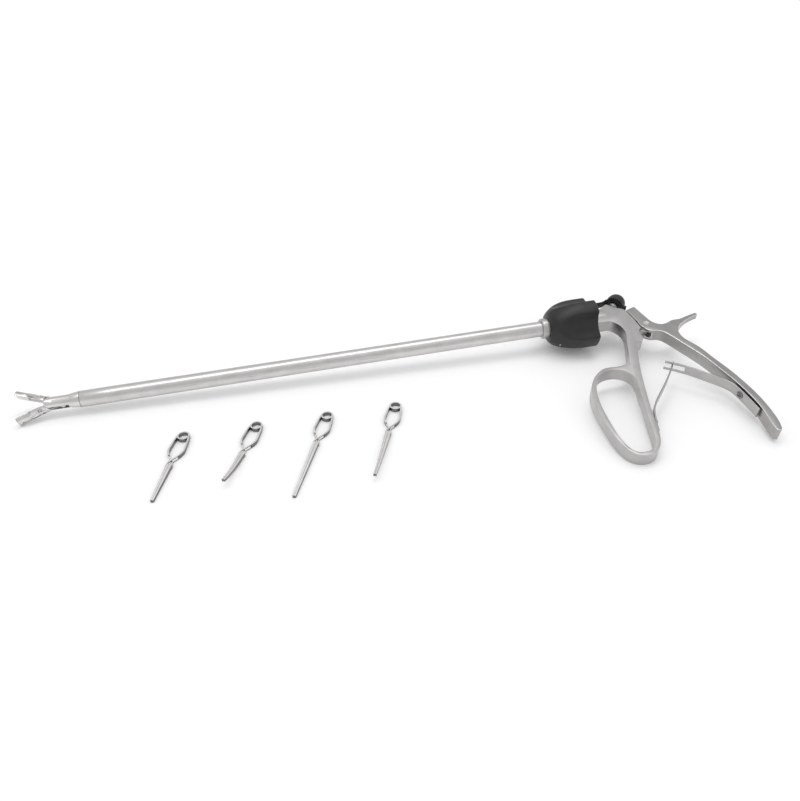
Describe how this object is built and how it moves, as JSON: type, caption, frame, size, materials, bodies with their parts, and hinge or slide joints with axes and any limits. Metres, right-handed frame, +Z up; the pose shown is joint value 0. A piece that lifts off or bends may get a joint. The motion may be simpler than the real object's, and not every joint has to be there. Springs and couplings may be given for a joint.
{
  "type": "laparoscopic bulldog clamp applier set",
  "caption": "Long slim laparoscopic applier with finger loop, squeeze lever, turning knob and opening jaws, lying beside a row of small cross-action bulldog clamps.",
  "frame": {"origin": "centre of the whole set in plan, on the surface that it lies on", "axes": "+X along the shaft from the jaws to the handle, +Y away from the finger loop, +Z up"},
  "size_m": [0.4302, 0.1424, 0.0348],
  "materials": {
    "shaft_steel": "polished",
    "polished_steel": "polished",
    "satin_steel": "satin",
    "spring_steel": "bright",
    "clamp_steel": "satin",
    "black_plastic": "fine grain",
    "rubber": "smooth"
  },
  "bodies": {
    "handle": {"handle_frame": "satin_steel", "rod_seal": "rubber", "flush_port": "polished_steel", "cap_strap": "rubber", "snap_ring": "polished_steel", "front_leaf_root": "spring_steel", "front_leaf_screw": "polished_steel"},
    "shaft": {"outer_tube": "shaft_steel", "turning_knob": "black_plastic", "knob_set_screw": "polished_steel", "knob_nose_ring": "polished_steel", "shaft_spigot": "polished_steel", "shaft_seal": "rubber", "jaw_carrier": "polished_steel", "jaw_pivot_pin": "polished_steel"},
    "pull_rod": {"pull_rod": "polished_steel", "rod_drive_pin": "polished_steel", "rod_ball_end": "polished_steel"},
    "jaw_left": {"jaw_left": "polished_steel"},
    "jaw_right": {"jaw_right": "polished_steel"},
    "lever": {"squeeze_lever": "satin_steel", "lever_pivot_pin": "polished_steel", "rear_leaf_root": "spring_steel", "rear_leaf_screw": "polished_steel"},
    "front_leaf": {"front_leaf": "spring_steel"},
    "rear_leaf": {"rear_leaf": "spring_steel"},
    "flush_cap": {"flush_cap": "rubber"},
    "clamp_1": {"clamp_1_window_arm": "clamp_steel"},
    "clamp_1_arm": {"clamp_1_neck_arm": "clamp_steel"},
    "clamp_2": {"clamp_2_window_arm": "clamp_steel"},
    "clamp_2_arm": {"clamp_2_neck_arm": "clamp_steel"},
    "clamp_3": {"clamp_3_window_arm": "clamp_steel"},
    "clamp_3_arm": {"clamp_3_neck_arm": "clamp_steel"},
    "clamp_4": {"clamp_4_window_arm": "clamp_steel"},
    "clamp_4_arm": {"clamp_4_neck_arm": "clamp_steel"}
  },
  "joints": [
    {"name": "shaft_turn", "type": "hinge", "parent": "handle", "child": "shaft", "pos_m": [0.11241, 0.05015, 0.0167], "axis": [0.9996, 0, 0.0277], "continuous": true},
    {"name": "lever_squeeze", "type": "hinge", "parent": "handle", "child": "lever", "pos_m": [0.17583, 0.03524, 0.01685], "axis": [0.0275, 0.1072, -0.9939], "range_deg": [0, 16], "stiffness_Nm_per_rad": 2, "springref_deg": -17.19},
    {"name": "rod_slide", "type": "slide", "parent": "shaft", "child": "pull_rod", "axis": [0.9996, 0, 0.0277], "range_m": [0, 0.00422]},
    {"name": "jaw_left_close", "type": "hinge", "parent": "shaft", "child": "jaw_left", "pos_m": [-0.19497, 0.05015, 0.0082], "axis": [-0.0229, -0.5614, 0.8272], "range_deg": [0, 20]},
    {"name": "jaw_right_close", "type": "hinge", "parent": "shaft", "child": "jaw_right", "pos_m": [-0.19497, 0.05015, 0.0082], "axis": [0.0229, 0.5614, -0.8272], "range_deg": [0, 20]},
    {"name": "front_leaf_flex", "type": "hinge", "parent": "handle", "child": "front_leaf", "pos_m": [0.14263, -0.04152, 0.00765], "axis": [-0.0275, -0.1072, 0.9939], "range_deg": [0, 7.9]},
    {"name": "rear_leaf_flex", "type": "hinge", "parent": "lever", "child": "rear_leaf", "pos_m": [0.20145, -0.03243, 0.01026], "axis": [0.0275, 0.1072, -0.9939], "range_deg": [0, 8.2]},
    {"name": "cap_pull", "type": "slide", "parent": "handle", "child": "flush_cap", "axis": [0.7291, 0.6781, 0.0933], "range_m": [0, 0.012]},
    {"name": "clamp_1_lift", "type": "slide", "parent": "handle", "child": "clamp_1", "axis": [0, 0, 1], "range_m": [0, 0.05]},
    {"name": "clamp_1_open", "type": "hinge", "parent": "clamp_1", "child": "clamp_1_arm", "pos_m": [-0.12019, 0.00945, 0.00005], "axis": [0, 0, 1], "range_deg": [0, 12], "stiffness_Nm_per_rad": 0.05, "springref_deg": -28.65},
    {"name": "clamp_2_lift", "type": "slide", "parent": "handle", "child": "clamp_2", "axis": [0, 0, 1], "range_m": [0, 0.05]},
    {"name": "clamp_2_open", "type": "hinge", "parent": "clamp_2", "child": "clamp_2_arm", "pos_m": [-0.07899, 0.00945, 0.00005], "axis": [0, 0, 1], "range_deg": [0, 12], "stiffness_Nm_per_rad": 0.05, "springref_deg": -28.65},
    {"name": "clamp_3_lift", "type": "slide", "parent": "handle", "child": "clamp_3", "axis": [0, 0, 1], "range_m": [0, 0.05]},
    {"name": "clamp_3_open", "type": "hinge", "parent": "clamp_3", "child": "clamp_3_arm", "pos_m": [-0.03779, 0.00945, 0.00005], "axis": [0, 0, 1], "range_deg": [0, 12], "stiffness_Nm_per_rad": 0.05, "springref_deg": -28.65},
    {"name": "clamp_4_lift", "type": "slide", "parent": "handle", "child": "clamp_4", "axis": [0, 0, 1], "range_m": [0, 0.05]},
    {"name": "clamp_4_open", "type": "hinge", "parent": "clamp_4", "child": "clamp_4_arm", "pos_m": [0.00341, 0.00945, 0.00005], "axis": [0, 0, 1], "range_deg": [0, 12], "stiffness_Nm_per_rad": 0.05, "springref_deg": -28.65}
  ],
  "couplings": [
    {"joint": "rod_slide", "follows": "lever_squeeze", "m_per_rad": 0.015098},
    {"joint": "jaw_left_close", "follows": "lever_squeeze", "ratio": 1.25},
    {"joint": "jaw_right_close", "follows": "lever_squeeze", "ratio": 1.25},
    {"joint": "front_leaf_flex", "follows": "lever_squeeze", "ratio": 0.49},
    {"joint": "rear_leaf_flex", "follows": "lever_squeeze", "ratio": 0.51}
  ]
}
